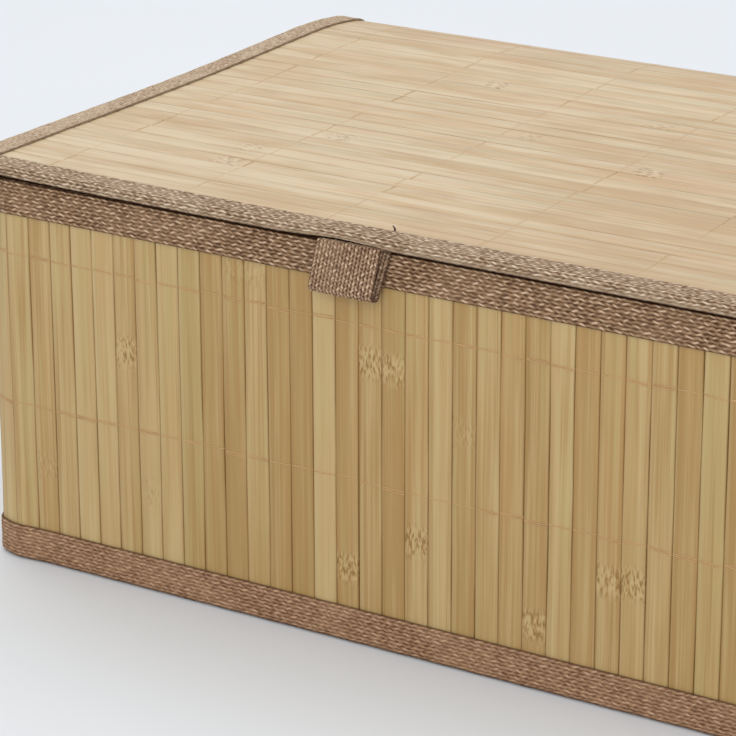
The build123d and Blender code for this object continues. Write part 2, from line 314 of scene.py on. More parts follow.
class Nodes:
    """A tree of shader nodes. A colour may be written as six hex digits."""

    def __init__(self, tree):
        self.tree = tree

    def feed(self, socket, value):
        if isinstance(value, Shade):
            self.tree.links.new(value.socket, socket)
        else:
            socket.default_value = colour(value) if isinstance(value, str) else value

    def node(self, kind, values=(), output=0, **settings):
        made = self.tree.nodes.new("ShaderNode" + kind)
        for key, value in settings.items():
            setattr(made, key, value)
        for key, value in dict(values).items():
            self.feed(made.inputs[key], value)
        return Shade(self, made.outputs[output])

    def attribute(self, name):
        return self.node("Attribute", output="Fac", attribute_name=name)

    def vector(self, x, y, z):
        return self.node("CombineXYZ", {0: x, 1: y, 2: z})

    def noise(self, vector, detail=2.0, scale=1.0):
        return self.node("TexNoise", {"Vector": vector, "Scale": scale, "Detail": detail}, "Fac")

    def mix(self, factor, first, second):
        return self.node("Mix", {0: factor, 6: first, 7: second}, 2, data_type="RGBA")


class Finish(Nodes):
    """One procedural material."""

    def __init__(self, name, roughness=0.5, specular=0.4, sheen=0.0):
        self.material = bpy.data.materials.new(name)
        self.material.use_nodes = True
        super().__init__(self.material.node_tree)
        self.shader = self.tree.nodes["Principled BSDF"].inputs
        self.shader["Roughness"].default_value = roughness
        self.shader["Specular IOR Level"].default_value = specular
        self.shader["Sheen Weight"].default_value = sheen

    def paint(self, base, **others):
        self.feed(self.shader["Base Color"], base)
        for key, value in others.items():
            self.feed(self.shader[key], value)

    def bump(self, height, strength, distance):
        values = {"Height": height, "Strength": strength, "Distance": distance}
        self.feed(self.shader["Normal"], self.node("Bump", values))


def bamboo(name, pale, deep, warm, green, line, streaks, clouds, seams, marks, specular, shortness=1.0):
    """Split bamboo: long streaks and fibres, patches of tone, node marks, and painted shade darkening the
    edges.
    """
    finish = Finish(name, specular=specular)
    along, across = finish.attribute("along"), finish.attribute("across")
    lot = finish.attribute("lot") * 61.0

    def grain(per_across, per_along, detail=2.0):
        return finish.noise(finish.vector(across * per_across, along * (per_along * shortness), lot), detail)

    broad = grain(520.0, 6.0)
    fine = grain(2100.0, 22.0, 3.0)
    shade = finish.attribute("tone") + broad.between(0.3, 0.7, -0.5 * streaks, 0.5 * streaks)
    shade = shade + fine.between(0.3, 0.7, -0.3 * streaks, 0.3 * streaks)
    shade = shade + grain(170.0, 21.0).between(0.3, 0.7, -clouds, clouds)
    base = finish.mix(shade.between(-0.1, 1.1), pale, deep)
    base = finish.mix(finish.attribute("warmth") * grain(210.0, 13.0).between(0.4, 0.66), base, warm)
    base = finish.mix(grain(260.0, 8.0).between(0.5, 0.72, 0.0, 0.5), base, green)
    base = finish.mix(grain(1300.0, 9.0).between(0.6, 0.76, 0.0, streaks * 0.7), base, line)

    distance = finish.attribute("mark")
    window = abs(distance).between(7.2 * mm, 2.0 * mm) * finish.attribute("knot")
    spread = across * (distance * 26.0 + 1.0) * 1500.0
    strokes = finish.noise(finish.vector(spread, distance * 430.0, lot), 1.0)
    base = finish.mix(window * strokes.between(0.5, 0.6, 0.0, marks), base, pale)
    base = finish.mix(window * strokes.between(0.47, 0.38, 0.0, marks), base, line)

    # Painted shade: the slats darken towards their edges, as the seams between them shade them.
    seam_shade = abs(across).between(3.4 * mm, 4.1 * mm, 0.0, seams)
    base = finish.mix(seam_shade * grain(60.0, 40.0).between(0.3, 0.65, 0.25, 1.0), base, line)
    finish.paint(base, Roughness=broad.between(0.3, 0.7, 0.42, 0.6))
    finish.bump(fine + broad * 0.5 + window * strokes * 2.0, 0.3, 0.1 * mm)
    return finish.material


def webbing(name, painted_pit_shade, body, painted_crown_highlight, light, contrast=1.0):
    """Coarse plain-woven webbing. Its yarns wave past each other and twist to either side in turn, every
    other pick lies over, and pits lie between."""
    finish = Finish(name)
    along, across = finish.attribute("along"), finish.attribute("across")
    row = across / yarn_pitch
    yarn = row.maths("FLOOR")
    inside = row - yarn - 0.5
    side = yarn.maths("FLOORED_MODULO", 2.0) * -2.0 + 1.0
    slip = finish.noise(finish.vector(along * 110.0, yarn * 2.3, 5.0), 1.0)
    turn = along / pick_pitch + yarn + inside * side * yarn_slant
    phase = (turn + slip.between(0.3, 0.7, -0.35, 0.35)) * pi
    double = phase * 2.0
    over = (phase.maths("COSINE") + double.maths("COSINE")) * 0.28 + 0.44
    bent = inside + double.maths("SINE") * side * 0.12
    ridge = bent * bent * -4.0 + 1.0
    height = ridge.maths("MAXIMUM", 0.0) * (over * 0.6 + 0.4)

    yarn_tone = finish.noise(finish.vector(yarn * 5.3, along * 330.0, 3.0), 1.0)
    patches = finish.noise(finish.vector(across * 90.0, along * 45.0, 9.0))
    fibres = finish.noise(finish.vector(along * 1800.0 + across * 2900.0, across * 900.0, yarn))
    worn, crevice = finish.attribute("worn"), finish.attribute("crevice")
    depth = worn * (-0.6 * contrast) + contrast
    raised = (height - 0.5) * depth + 0.5 + yarn_tone.between(0.3, 0.7, -0.2, 0.2)
    raised = raised + fibres.between(0.3, 0.7, -0.16, 0.16)
    # Painted shade darkens the weave's low parts and a painted highlight lightens its raised parts, over the
    # yarns' own tone.
    base = finish.mix(raised.between(-0.05, 0.6), painted_pit_shade, body)
    base = finish.mix(patches.between(0.4, 0.7, 0.0, 0.35), base, light)
    base = finish.mix(raised.between(0.55, 1.1), base, painted_crown_highlight)
    base = finish.mix(worn * 0.3, base, "A38D74")
    # Painted shade: dark brown, with less shine, where the lid's nose, the floor or the tab's own loop shades
    # the webbing.
    base = finish.mix(crevice, base, "2A1409")
    finish.paint(base, **{"Roughness": height.between(0.0, 1.0, 0.85, 0.62),
                          "Specular IOR Level": crevice * -0.25 + 0.25})
    finish.bump((height + fibres * 0.4) * depth, 1.0, 0.4 * mm)
    return finish.material


def cloth(name, pale, deep, threads=0.45 * mm):
    """Plain glued cloth with a fine weave and soft cloudy wear."""
    finish = Finish(name, specular=0.2, sheen=0.1)
    place = finish.node("TexCoord", output="Object")
    waves = [finish.node("SeparateXYZ", {0: place}, i) * (2 * pi / threads) for i in range(3)]
    x, y, z = (wave.maths("SINE") for wave in waves)
    weave = x + y + z
    clouds = finish.noise(place, 4.0, 45.0)
    slubs = finish.noise(place, 2.0, 900.0)
    shade = weave.between(-2.0, 2.0, 0.0, 0.45) + clouds.between(0.35, 0.7, 0.0, 0.4)
    shade = shade + slubs.between(0.4, 0.7, 0.0, 0.3)
    finish.paint(finish.mix(shade, pale, deep), Roughness=clouds.between(0.3, 0.7, 0.8, 0.92))
    finish.bump(weave + slubs * 2.0, 0.25, 0.1 * mm)
    return finish.material


def board(name, pale, deep):
    """Grey pressed board with short fibres."""
    finish = Finish(name, specular=0.2)
    place = finish.node("TexCoord", output="Object")
    flecks = finish.noise(place, 3.0, 1300.0)
    shade = flecks.between(0.35, 0.7, 0.0, 0.6) + finish.noise(place, 3.0, 60.0).between(0.3, 0.7, 0.0, 0.4)
    finish.paint(finish.mix(shade, pale, deep), Roughness=flecks.between(0.3, 0.7, 0.75, 0.95))
    finish.bump(flecks, 0.2, 0.1 * mm)
    return finish.material


def thread_finish(name, pale, deep):
    """Twisted sewing thread."""
    finish = Finish(name, specular=0.3, sheen=0.1)
    along, across = finish.attribute("along"), finish.attribute("across")
    plies = (along * 7000.0 + across).maths("SINE")
    clouds = finish.noise(finish.vector(along * 300.0, across, 4.0))
    shade = plies.between(-1.0, 1.0, 0.0, 0.5) + clouds.between(0.35, 0.65, 0.0, 0.5)
    finish.paint(finish.mix(shade, pale, deep), Roughness=clouds.between(0.3, 0.7, 0.6, 0.8))
    finish.bump(plies, 0.3, 0.05 * mm)
    return finish.material


wall_bamboo = bamboo(
    "wall_bamboo", pale="C0A775", deep="A6844F", warm="B28852", green="B39F68", line="8A6632",
    streaks=0.55, clouds=0.12, seams=0.6, marks=0.8, specular=0.35,
)
# The lid's bamboo is paler and greyer than the walls' partly in its own tone and partly as painted sheen from
# the bright surroundings on its top.
lid_bamboo = bamboo(
    "lid_bamboo", pale="D5C19D", deep="BEA177", warm="CDA97E", green="C2B893", line="8E6C46",
    streaks=0.36, clouds=0.28, seams=0.4, marks=0.7, specular=0.45, shortness=1.6,
)
dark_webbing = webbing("dark_webbing", "4E331F", "967556", "D2B496", "A08162", contrast=1.1)
base_webbing = webbing("base_webbing", "694830", "A07B5D", "C4A07F", "AA8765", contrast=0.95)
tab_finish = webbing("tab_webbing", "52382A", "A07F62", "DEC4A4", "AA8C6E")
light_webbing = webbing("light_webbing", "664B32", "AD9276", "E2CDB2", "B8A085", contrast=1.15)
side_finish = webbing("side_webbing", "8C6F52", "BDA58A", "DAC6AA", "C8B398", contrast=0.7)
wall_thread = thread_finish("thread", "CDA877", "B28A5A")
lid_thread = thread_finish("lid_thread", "D0B58E", "BE9C70")
dark_thread = thread_finish("dark_thread", "4E3422", "2E1E12")
backing_cloth = cloth("backing_cloth", "8E6C3C", "70522A")
lining_cloth = cloth("lining_cloth", "D8C9AC", "BFAE8E")
cover_cloth = cloth("base_cover_cloth", "6A543E", "4E3E2E", threads=0.8 * mm)
pressed_board = board("board", "A89C88", "857A68")


def slat(rng, length, thickness, width=slat_pitch - slat_spacing, steps=18, rough=1.0):
    """One slat's rings in its own axes (across, along, out), and the values that its bamboo is painted by."""
    along = np.linspace(0, length, steps)
    half = width / 2
    soft = 0.29 * mm
    edge = [(half, 0), (half, thickness - soft * rough), (half - 0.12 * mm, thickness - 0.13 * mm * rough),
            (half - soft, thickness - 0.02 * mm), (half / 2, thickness)]
    section = np.array([(-x, y) for x, y in edge] + [(0, thickness)] + edge[::-1])
    share = section[:, 0] / half
    face = section[None, :, 1] > 0
    left = wander(rng, along, slat_waver * rough, 0.17)
    right = wander(rng, along, slat_waver * rough, 0.17)
    shift = np.where(share[None] < 0, left[:, None], right[:, None]) * np.abs(share)[None] ** 2
    across = section[None, :, 0] + shift
    crowned = section[None, :, 1] - slat_crown * rough * share**2 * face
    lean = rng.normal() * radians(0.6) * rough
    out = crowned - (slat_sink * rough * rng.random() - lean * section[None, :, 0]) * face
    out = out + wander(rng, along, 0.04 * mm, 0.2)[:, None] * face
    rings = np.stack([across, np.broadcast_to(along[:, None], across.shape), out + np.zeros_like(across)], -1)
    values = {"along": along[:, None], "across": section[None, :, 0], "lot": rng.random()}
    return rings, values


def placed(rings, origin, across, along, out):
    """Rings in a slat's own axes, put where the slat is."""
    origin, across, along, out = (np.asarray(v, float) for v in (origin, across, along, out))
    return origin + rings[..., :1] * across + rings[..., 1:2] * along + rings[..., 2:] * out


def slat_values(rng, along, mark, tone, warmth, mark_chance, knot=1.0):
    """What differs from slat to slat: tone, warmth, how far a point is from a node mark, and its strength."""
    if mark is None and rng.random() < mark_chance:
        mark = rng.uniform(0.1, 0.9) * along.max()
        knot = rng.uniform(0.4, 1.0)
    distance = along - mark if mark is not None else 1.0
    return {"tone": np.clip(tone, 0, 1), "warmth": warmth, "mark": distance, "knot": knot}


def wall_slats(side, start, step, out, count, seed):
    """One wall's upright slats, from its left-hand end as seen from outside. Those of the front are like the
    photograph's."""
    rng = np.random.default_rng(seed)
    low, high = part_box(side + "_slats")
    start, step, out = (np.array((*v, 0.0)) for v in (start, step, out))
    marks = front_marks | faint_front_marks if side == "front" else {}
    shells = Shells()
    for i in range(count):
        rings, values = slat(rng, high.z - low.z, slat_thickness)
        tone = rng.normal(0.42, 0.09 if marks else 0.17)
        if marks:
            tone += 0.45 * (i in darker_front_slats) - 0.3 * (i in paler_front_slats)
        mark = marks[i] * mm - low.z if i in marks else None
        knot = 0.35 if marks and i in faint_front_marks else 1.0
        more = slat_values(rng, values["along"], mark, tone, rng.random() * 0.5, 0 if marks else 0.25, knot)
        place = start + step * (i + 0.5) * slat_pitch - out * slat_thickness + (0, 0, low.z)
        shells.add(placed(rings, place, step, (0, 0, 1), out), **values, **more)
    shells.build(side + "_wall_slats", wall_bamboo, "box", [side + "_slats"])


front_low, front_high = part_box("front_slats")
left_low, left_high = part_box("left_slats")
slat_thickness = front_high.y - front_low.y
straight_x = front_high.x + slat_gap / 2
straight_y = left_high.y + slat_gap / 2
body_half_x = -left_low.x
body_half_y = -front_low.y
corner_radius = body_half_x - straight_x
front_count = round(2 * straight_x / slat_pitch)
side_count = round(2 * straight_y / slat_pitch)

# Walls: where each starts, which way its slats follow each other, the way out and how many there are
walls = (
    ("front", (-straight_x, -body_half_y), (1, 0), (0, -1), front_count),
    ("right", (body_half_x, -straight_y), (0, 1), (1, 0), side_count),
    ("rear", (straight_x, body_half_y), (-1, 0), (0, 1), front_count),
    ("left", (-body_half_x, straight_y), (0, -1), (-1, 0), side_count),
)
for seed, wall in enumerate(walls, 1):
    wall_slats(*wall, seed)


def corner_slats(corner, sign_x, sign_y, seed):
    """The two slats that turn one corner."""
    rng = np.random.default_rng(seed)
    low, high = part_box(corner + "_corner_slats")
    signs = np.array((sign_x, sign_y))
    apothem = corner_radius * cos(radians(22.5)) - slat_thickness
    shells = Shells()
    for turn in (22.5, 67.5):
        out, side = signs * heading(turn), signs * heading(turn + 90)
        place = signs * (straight_x, straight_y) + out * apothem
        rings, values = slat(rng, high.z - low.z, slat_thickness, slat_pitch - 0.6 * mm)
        more = slat_values(rng, values["along"], None, 0.35, 0.3, 0.2)
        shells.add(placed(rings, (*place, low.z), (*side, 0), (0, 0, 1), (*out, 0)), **values, **more)
    shells.build(corner + "_corner", wall_bamboo, "box", [corner + "_corner_slats"])


corners = (("front_left", -1, -1), ("front_right", 1, -1), ("rear_left", -1, 1), ("rear_right", 1, 1))
for seed, corner in enumerate(corners, 11):
    corner_slats(*corner, seed)


def wall_stations(step):
    """Points once round the walls at the slats' faces, with the ways out and the lengths so far."""
    bases, outs = [], []
    turns = ((straight_x, -straight_y, -90), (straight_x, straight_y, 0),
             (-straight_x, straight_y, 90), (-straight_x, -straight_y, 180))
    for x, y, start in turns:
        out = heading(start)
        length = 2 * (straight_x if abs(out[1]) > 0.5 else straight_y)
        end = (x, y) + out * corner_radius
        count = round(length / step)
        for i in range(count):
            bases.append(end - heading(start + 90) * length * (1 - i / count))
            outs.append(out)
        count = round(corner_radius * pi / 2 / step)
        for i in range(count):
            share = i / count * 90
            out = heading(start + share)
            flat = corner_radius * cos(radians(22.5)) / cos(radians(share % 45 - 22.5))
            bases.append((x, y) + out * (corner_radius + corner_flatness * (flat - corner_radius)))
            outs.append(out)
    bases, outs = np.array(bases), np.array(outs)
    for i in range(2):
        bases, outs = ((np.roll(v, 1, 0) + 2 * v + np.roll(v, -1, 0)) / 4 for v in (bases, outs))
    outs /= np.linalg.norm(outs, axis=1)[:, None]
    along = lengths_along(np.concatenate([bases, bases[:1]]))
    period = 2 * pick_pitch
    return bases, outs, along[:-1] * (round(along[-1] / period) * period / along[-1])


def lengths_along(line):
    """The length so far at each point of a line."""
    return np.concatenate([[0], np.cumsum(np.linalg.norm(np.diff(line, axis=0), axis=1))])


def rounded_line(points, radius):
    """A line of points with arcs at its bends."""
    points = np.array(points, float)
    line = [points[0]]
    for before, corner, after in zip(points, points[1:], points[2:]):
        back = (before - corner) / np.linalg.norm(before - corner)
        forth = (after - corner) / np.linalg.norm(after - corner)
        half = np.arccos(np.clip(back @ forth, -1, 1)) / 2
        reach = radius / tan(half)
        centre = corner + (back + forth) / np.linalg.norm(back + forth) * radius / sin(half)
        start = corner + back * reach - centre
        end = corner + forth * reach - centre
        turn = pi - 2 * half
        for share in np.linspace(0, 1, 9):
            line.append(centre + (start * sin((1 - share) * turn) + end * sin(share * turn)) / sin(turn))
    line.append(points[-1])
    return np.array(line)


def sampled(line, stations):
    """Points and left-hand normals of a line at the given lengths along it."""
    lengths = lengths_along(line)
    keep = np.concatenate([[True], np.diff(lengths) > 1e-9])
    line, lengths = line[keep], lengths[keep]

    def at(where):
        where = np.clip(where, 0, lengths[-1])
        return np.stack([np.interp(where, lengths, line[:, k]) for k in range(line.shape[1])], -1)

    reach = 0.12 * mm
    tangent = at(stations + reach) - at(stations - reach)
    tangent /= np.linalg.norm(tangent, axis=1)[:, None]
    return at(stations), np.stack([-tangent[:, 1], tangent[:, 0]], -1)


def band(face, back, fine, radius, turned=1):
    """A folded band's section: its face and the way out of it, where its yarns lie, and its back."""
    line = rounded_line(face, radius)
    total = lengths_along(line)[-1]
    first = np.arange(0, fine, yarn_pitch / 2)
    rest = np.arange(len(first) * yarn_pitch / 2, total - yarn_pitch / 2, yarn_pitch)
    stations = np.concatenate([first, rest, [total]])
    points, normals = sampled(line, stations)
    return points, normals * turned, stations, np.array(back, float)


def sweep(shells, origins, side, up, along, section, closed=False, shades=None):
    """Webbing laid along a path. The section may be one for all of the path, or a stack with one for each
    point, and so may the ways to its side and up. The shades make its painted shade and worn values from
    points."""
    points, normals, across, back = section
    if points.ndim == 2:
        points, normals, back = points[None], normals[None], back[None]
    side, up = (np.broadcast_to(np.asarray(v, float), origins.shape) for v in (side, up))
    if closed:
        origins, side, up = (np.concatenate([v, v[:1]]) for v in (origins, side, up))
        along = np.append(along, along[-1] + along[1] - along[0])
    yarn = np.floor(across / yarn_pitch + 1e-6)
    inside = across / yarn_pitch + 1e-6 - yarn - 0.5
    run = along[:, None]
    sunk = 4 * inside**2 * yarn_relief + 0.05 * mm * (1 + np.sin(run * 410 + yarn))
    backs = np.broadcast_to(back, (len(origins), *back.shape[1:]))
    whole = np.concatenate([points - normals * sunk[..., None], backs], 1)
    rings = origins[:, None] + whole[..., :1] * side[:, None] + whole[..., 1:] * up[:, None]
    back_across = np.linspace(across[-1], 0, back.shape[1] + 2)[1:-1]
    marked = shades(rings) if shades else {}
    shells.add(rings, capped=not closed, along=run, across=np.concatenate([across, back_across]), **marked)


# Webbing over the rim and under the base
rim_low, rim_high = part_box("rim_binding")
base_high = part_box("base_binding")[1]
lining_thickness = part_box("base_lining")[1].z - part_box("base_lining")[0].z
wall_depth = body_half_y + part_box("front_board")[1].y + lining_thickness
bases, outs, wall_run = wall_stations(path_step)
flat_bases, flat_outs = (np.insert(v, 2, 0, axis=1) for v in (bases, outs))


def wall_webbing(name, node, face, back, fine, turned, material, shades):
    """Webbing folded over one edge of the walls, all the way round."""
    shells = Shells()
    section = band(face, back, fine, fold_radius, turned)
    sweep(shells, flat_bases, flat_outs, (0, 0, 1), wall_run, section, closed=True, shades=shades)
    shells.build(name, material, "box", [node], crease=100)


def rim_shades(points):
    """Painted shade on the front rim's shoulder under the lid's nose, its edges as the camera sees them."""
    x, y, z = np.moveaxis(points, -1, 0)
    sight = z + sight_slope * (y + body_half_y + webbing_thickness)
    foot = shade_foot + 0.3 * corner_lift * np.exp((cad_low[0] - x) / corner_lift_reach)
    top = foot + shade_height
    dark = smooth(sight, foot, foot + 0.3 * mm) * smooth(sight, top + 0.5 * mm, top)
    return {"crevice": 0.9 * dark * smooth(y, *shade_span)}


def base_shades(points):
    """Painted shade: the dark line where the base's webbing meets what the box stands on."""
    return {"crevice": 0.8 * smooth(points[..., 2], 0.9 * mm, 0.2 * mm)}


sight_slope = tan(radians(camera_elevation)) / cos(radians(camera_azimuth))
shade_foot = 129.6 * mm
shade_height = 1.1 * mm
shade_span = (-109.0 * mm, -111.0 * mm)
rim_inner = -wall_depth - webbing_thickness
rim_foot = rim_high.z - rim_band_inside
wall_webbing(
    "rim_webbing", "rim_binding",
    [(webbing_thickness, rim_low.z), (webbing_thickness, rim_high.z), (rim_inner, rim_high.z),
     (rim_inner, rim_foot)],
    [(-wall_depth - tuck, rim_foot), (-wall_depth - tuck, rim_high.z - webbing_thickness),
     (tuck, rim_high.z - webbing_thickness), (tuck, rim_low.z)],
    rim_fine, -1, dark_webbing, rim_shades)
wall_webbing(
    "base_webbing", "base_binding",
    [(webbing_thickness, base_high.z), (webbing_thickness, 0), (-base_band_under, 0)],
    [(-base_band_under, webbing_thickness - tuck), (tuck, webbing_thickness - tuck), (tuck, base_high.z)],
    base_fine, 1, base_webbing, base_shades)


def wall_sheet(name, node, outside, inside, material, rows, pucker):
    """Cloth that runs round the walls between two depths."""
    low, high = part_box(node)
    around, away, run = wall_stations(2 * mm)
    heights = np.linspace(low.z, high.z, rows)
    ripple = pucker * (1 + np.sin(run[:, None] * 55 + heights[None] * 90)) / 2
    face = around[:, None] - away[:, None] * (inside - ripple)[..., None]
    rear = np.broadcast_to((around - away * outside)[:, None], face.shape)
    plan = np.concatenate([face, rear[:, ::-1]], 1)
    level = np.broadcast_to(np.concatenate([heights, heights[::-1]]), plan.shape[:2])
    shells = Shells()
    shells.add(np.concatenate([plan, level[..., None]], -1), True)
    piece = shells.build(name, material, "box", [node], crease=40)


wall_sheet("wall_backing_cloth", "wall_backing", slat_thickness + tuck, slat_thickness + backing_thickness,
           backing_cloth, 3, 0)
wall_sheet("wall_lining_cloth", "wall_lining", wall_depth - lining_thickness + tuck, wall_depth,
           lining_cloth, 16, 0.12 * mm)

# Lid's mat: its seams, from the front edge over the rear rim and down to the hem
lid_slats_low, lid_slats_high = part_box("lid_slats")
mat_line = lid_slats_low.z - backing_thickness
mat_front = lid_slats_low.y - slat_gap / 2
mat_half = lid_slats_high.x
lid_count = round((lid_slats_high.y - lid_slats_low.y + slat_gap) / slat_pitch)


def step_along(start, tilt, run, rise=0.0):
    """The point that lies run along a slat that falls by tilt, and rise above the mat's line, as (y, z)."""
    return start + run * heading(-tilt) + rise * heading(90 - tilt)


def seam_points(start, tilts):
    """The mat's seams from a start on, one more than there are tilts."""
    points = [np.array(start)]
    for tilt in tilts:
        points.append(step_along(points[-1], tilt, slat_pitch))
    return points


lid_tilts = (0.0,) * lid_count
lid_seams = seam_points((mat_front, mat_line), lid_tilts)
rear_seams = seam_points(lid_seams[-1], lid_rear_tilts)
hinge_seams = seam_points(rear_seams[-1], (hinge_tilt,))
flap_seams = seam_points(hinge_seams[-1], flap_tilts)


def mat_slats(name, node, body, seams, tilts, seed, painted_rear_shade=0.0, spacing=0.08 * mm):
    """Slats of one run of the lid's mat, each from its left-hand end."""
    rng = np.random.default_rng(seed)
    shells = Shells()
    for seam, tilt in zip(seams, tilts):
        centre = step_along(seam, tilt, slat_pitch / 2, backing_thickness)
        rings, values = slat(rng, 2 * mat_half, slat_thickness, slat_pitch - spacing, steps=30, rough=0.45)
        # Painted shade: the runs that turn down at the rear take a deeper, warmer tone.
        tone = rng.normal(0.4, 0.12) + painted_rear_shade
        warmth = rng.random() * 0.5 + painted_rear_shade
        # Painted shade: the tone deepens towards the lid's front right.
        shaded = smooth(values["along"] - mat_half, *lid_front_painted_shade_x) * smooth(seam[0], *lid_front_painted_shade_y)
        tone = tone + lid_front_painted_shade * shaded
        more = slat_values(rng, values["along"], None, tone, warmth, 0.45)
        forward, out = (0, *heading(-tilt)), (0, *heading(90 - tilt))
        shells.add(placed(rings, (-mat_half, *centre), forward, (1, 0, 0), out), **values, **more)
    shells.build(name, lid_bamboo, body, [node])


mat_slats("lid_mat_slats", "lid_slats", "lid", lid_seams, lid_tilts, 41)
mat_slats("lid_rear_mat_slats", "lid_rear_slats", "lid", rear_seams, lid_rear_tilts, 42, 0.25)
mat_slats("hinge_mat_slat", "hinge_slat", "hinge", hinge_seams, (hinge_tilt,), 43, 0.2, slat_gap)
mat_slats("flap_mat_slats", "flap_slats", "box", flap_seams, flap_tilts, 44, 0.15, slat_gap)


front_band_low, front_band_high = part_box("lid_front_binding")
right_band_low, right_band_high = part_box("lid_right_binding")
lid_front, lid_underside = front_band_low.y, front_band_low.z
lid_top, lid_half = front_band_high.z, right_band_high.x
side_edge = right_band_low.x
bound_rise = lid_top - mat_line
mat_rise = bound_rise - webbing_thickness
under_rise = mat_line - lid_underside
tab_low, tab_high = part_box("pull_tab")


def over_tab(x):
    """A share that is 1 where the lid's front edge lies over the tab, and falls away beside it."""
    past = x - (tab_low.x + tab_high.x) / 2
    reach = (tab_high.x - tab_low.x) / 2
    return 1 / (1 + np.exp((np.abs(past) - reach) / np.where(past < 0, 4.5 * mm, 1.6 * mm)))


def bend(piece, line, first_body, second_body, seam):
    """Bakes the place of a piece that crosses the seam between two bodies into its mesh."""
    start, end = sampled(line, np.array([seam - bend_reach, seam + bend_reach]))[0]
    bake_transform(piece)


def mat_sheet(name, nodes, body, line, thickness, material, blend=None):
    """Cloth or board that follows a line of points, which is its underside, with a notch over the tab."""
    line = np.array(line)
    steps = np.diff(line, axis=0)
    lengths = np.linalg.norm(steps, axis=1)
    normals = np.stack([-steps[:, 1], steps[:, 0]], -1) / lengths[:, None]
    mitres = np.concatenate([normals[:1], normals[:-1] + normals[1:], normals[-1:]])
    mitres /= np.sum(mitres * np.concatenate([normals[:1], normals]), 1)[:, None]
    section = np.concatenate([line + mitres * thickness, line[::-1]])
    xs = np.linspace(-mat_half, mat_half, 121)
    rings = np.empty((len(xs), len(section), 3))
    rings[..., 0] = xs[:, None]
    rings[..., 1:] = section[None]
    at_front = smooth(rings[..., 1], lid_front + 3 * notch, lid_front + notch / 2)
    rings[..., 1] += notch * at_front * over_tab(rings[..., 0])
    shells = Shells()
    shells.add(rings)
    piece = shells.build(name, material, body, nodes, crease=40)
    if blend:
        bend(piece, cloth_line, *blend)


def level_line(node):
    """The underside of a level node, from front to rear, as (y, z)."""
    low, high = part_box(node)
    return np.stack([np.linspace(low.y, high.y, 30), np.full(30, low.z)], -1)


def length_to(line, point):
    """The length along a line of points to where it passes nearest to a point."""
    return lengths_along(line)[np.argmin(np.linalg.norm(line - point, axis=1))]


def backing(name, nodes, body, first, last, blend=None, step=1.4 * mm):
    """The mat's cloth between two lengths along it."""
    line = sampled(cloth_line, np.linspace(first, last, round((last - first) / step) + 1))[0]
    mat_sheet(name, nodes, body, line, cloth_thickness, backing_cloth, blend)


cloth_line = rounded_line([lid_seams[0], *rear_seams, *hinge_seams[1:], *flap_seams[1:]], seam_radius)
cloth_seams = [length_to(cloth_line, seam) for seam in hinge_seams]
backing("lid_backing_cloth", ["lid_backing"], "lid", 0, cloth_seams[0] - bend_reach,
        step=2.6 * mm)
backing("hinge_upper_cloth", ["hinge_backing"], None, cloth_seams[0] - bend_reach, sum(cloth_seams) / 2,
        blend=("lid", "hinge", cloth_seams[0]))
backing("hinge_lower_cloth", [], None, sum(cloth_seams) / 2, cloth_seams[1] + bend_reach,
        blend=("hinge", "box", cloth_seams[1]))
backing("flap_backing_cloth", ["flap_backing"], "box", cloth_seams[1] + bend_reach,
        lengths_along(cloth_line)[-1])
mat_sheet("lid_lining_cloth", ["lid_lining"], "lid", level_line("lid_lining"), cloth_thickness,
          lining_cloth)
mat_sheet("lid_stiffener", ["lid_board"], "lid", level_line("lid_board"), stiffener_thickness,
          pressed_board)

# Webbing on the lid


def straight_path(half, y=0.0, z=0.0):
    """A path across the box, from left to right."""
    xs = np.linspace(-half, half, round(2 * half / path_step) + 1)
    return np.stack([xs, np.full(len(xs), y), np.full(len(xs), z)], -1)


def nose_rise(x, y):
    """How far the lid's front edge is lifted over the tab, most at the left."""
    lean = 1 - nose_lean * smooth(x, tab_low.x, tab_high.x)
    return nose_lift * lean * over_tab(x) * smooth(y, lid_front + 3.2 * mm, lid_front + 1.6 * mm)


def nose_shades(points):
    """The nose is worn smooth low on its front, and painted dark below, in the shade over the rim and the
    tab.
    """
    x, y, z = np.moveaxis(points, -1, 0)
    height = z - nose_rise(x, y) - lid_underside
    shade = 0.45 * mm + 0.3 * mm * over_tab(x)
    depth = lid_front + 1.2 * mm + 2.0 * mm * over_tab(x)
    worn = smooth(height, 1.9 * mm, 1.2 * mm) * (0.25 + 0.75 * smooth(x, -70 * mm, -20 * mm))
    return {"worn": worn * smooth(height, shade - 0.2 * mm, shade + 0.3 * mm),
            "crevice": smooth(height, shade, shade - 0.4 * mm) * smooth(y, depth + 0.6 * mm, depth)}


def lid_front_webbing():
    """Webbing folded over the lid's front edge, which rises where the tab passes under it."""
    rear, inner, under = front_band_high.y, lid_front + webbing_thickness, lid_front + lid_front_band_under
    low, high = lid_underside + webbing_thickness - tuck, lid_top - webbing_thickness + tuck
    face = [(rear, lid_top), (lid_front, lid_top), (lid_front, lid_underside), (under, lid_underside)]
    back = [(under, low), (inner, low), (inner, high), (rear, high)]
    points, normals, across, back = band(face, back, lid_front_fine, lid_front_radius, -1)
    path = straight_path(side_edge)
    share = np.clip((lid_top - points[:, 1]) / (lid_top - lid_underside), 0.3, 1)
    faces = np.repeat(points[None], len(path), 0)
    faces[..., 1] += nose_rise(path[:, :1], points[None, :, 0]) * share[None]
    backs = np.repeat(back[None], len(path), 0)
    backs[:, 1, 1] += nose_rise(path[:, 0], inner)
    shells = Shells()
    section = (faces, normals[None], across, backs)
    sweep(shells, path, (0, 1, 0), (0, 0, 1), path[:, 0] + side_edge, section, shades=nose_shades)
    shells.build("lid_front_webbing", light_webbing, "lid", ["lid_front_binding"],
                 crease=100)


lid_front_webbing()

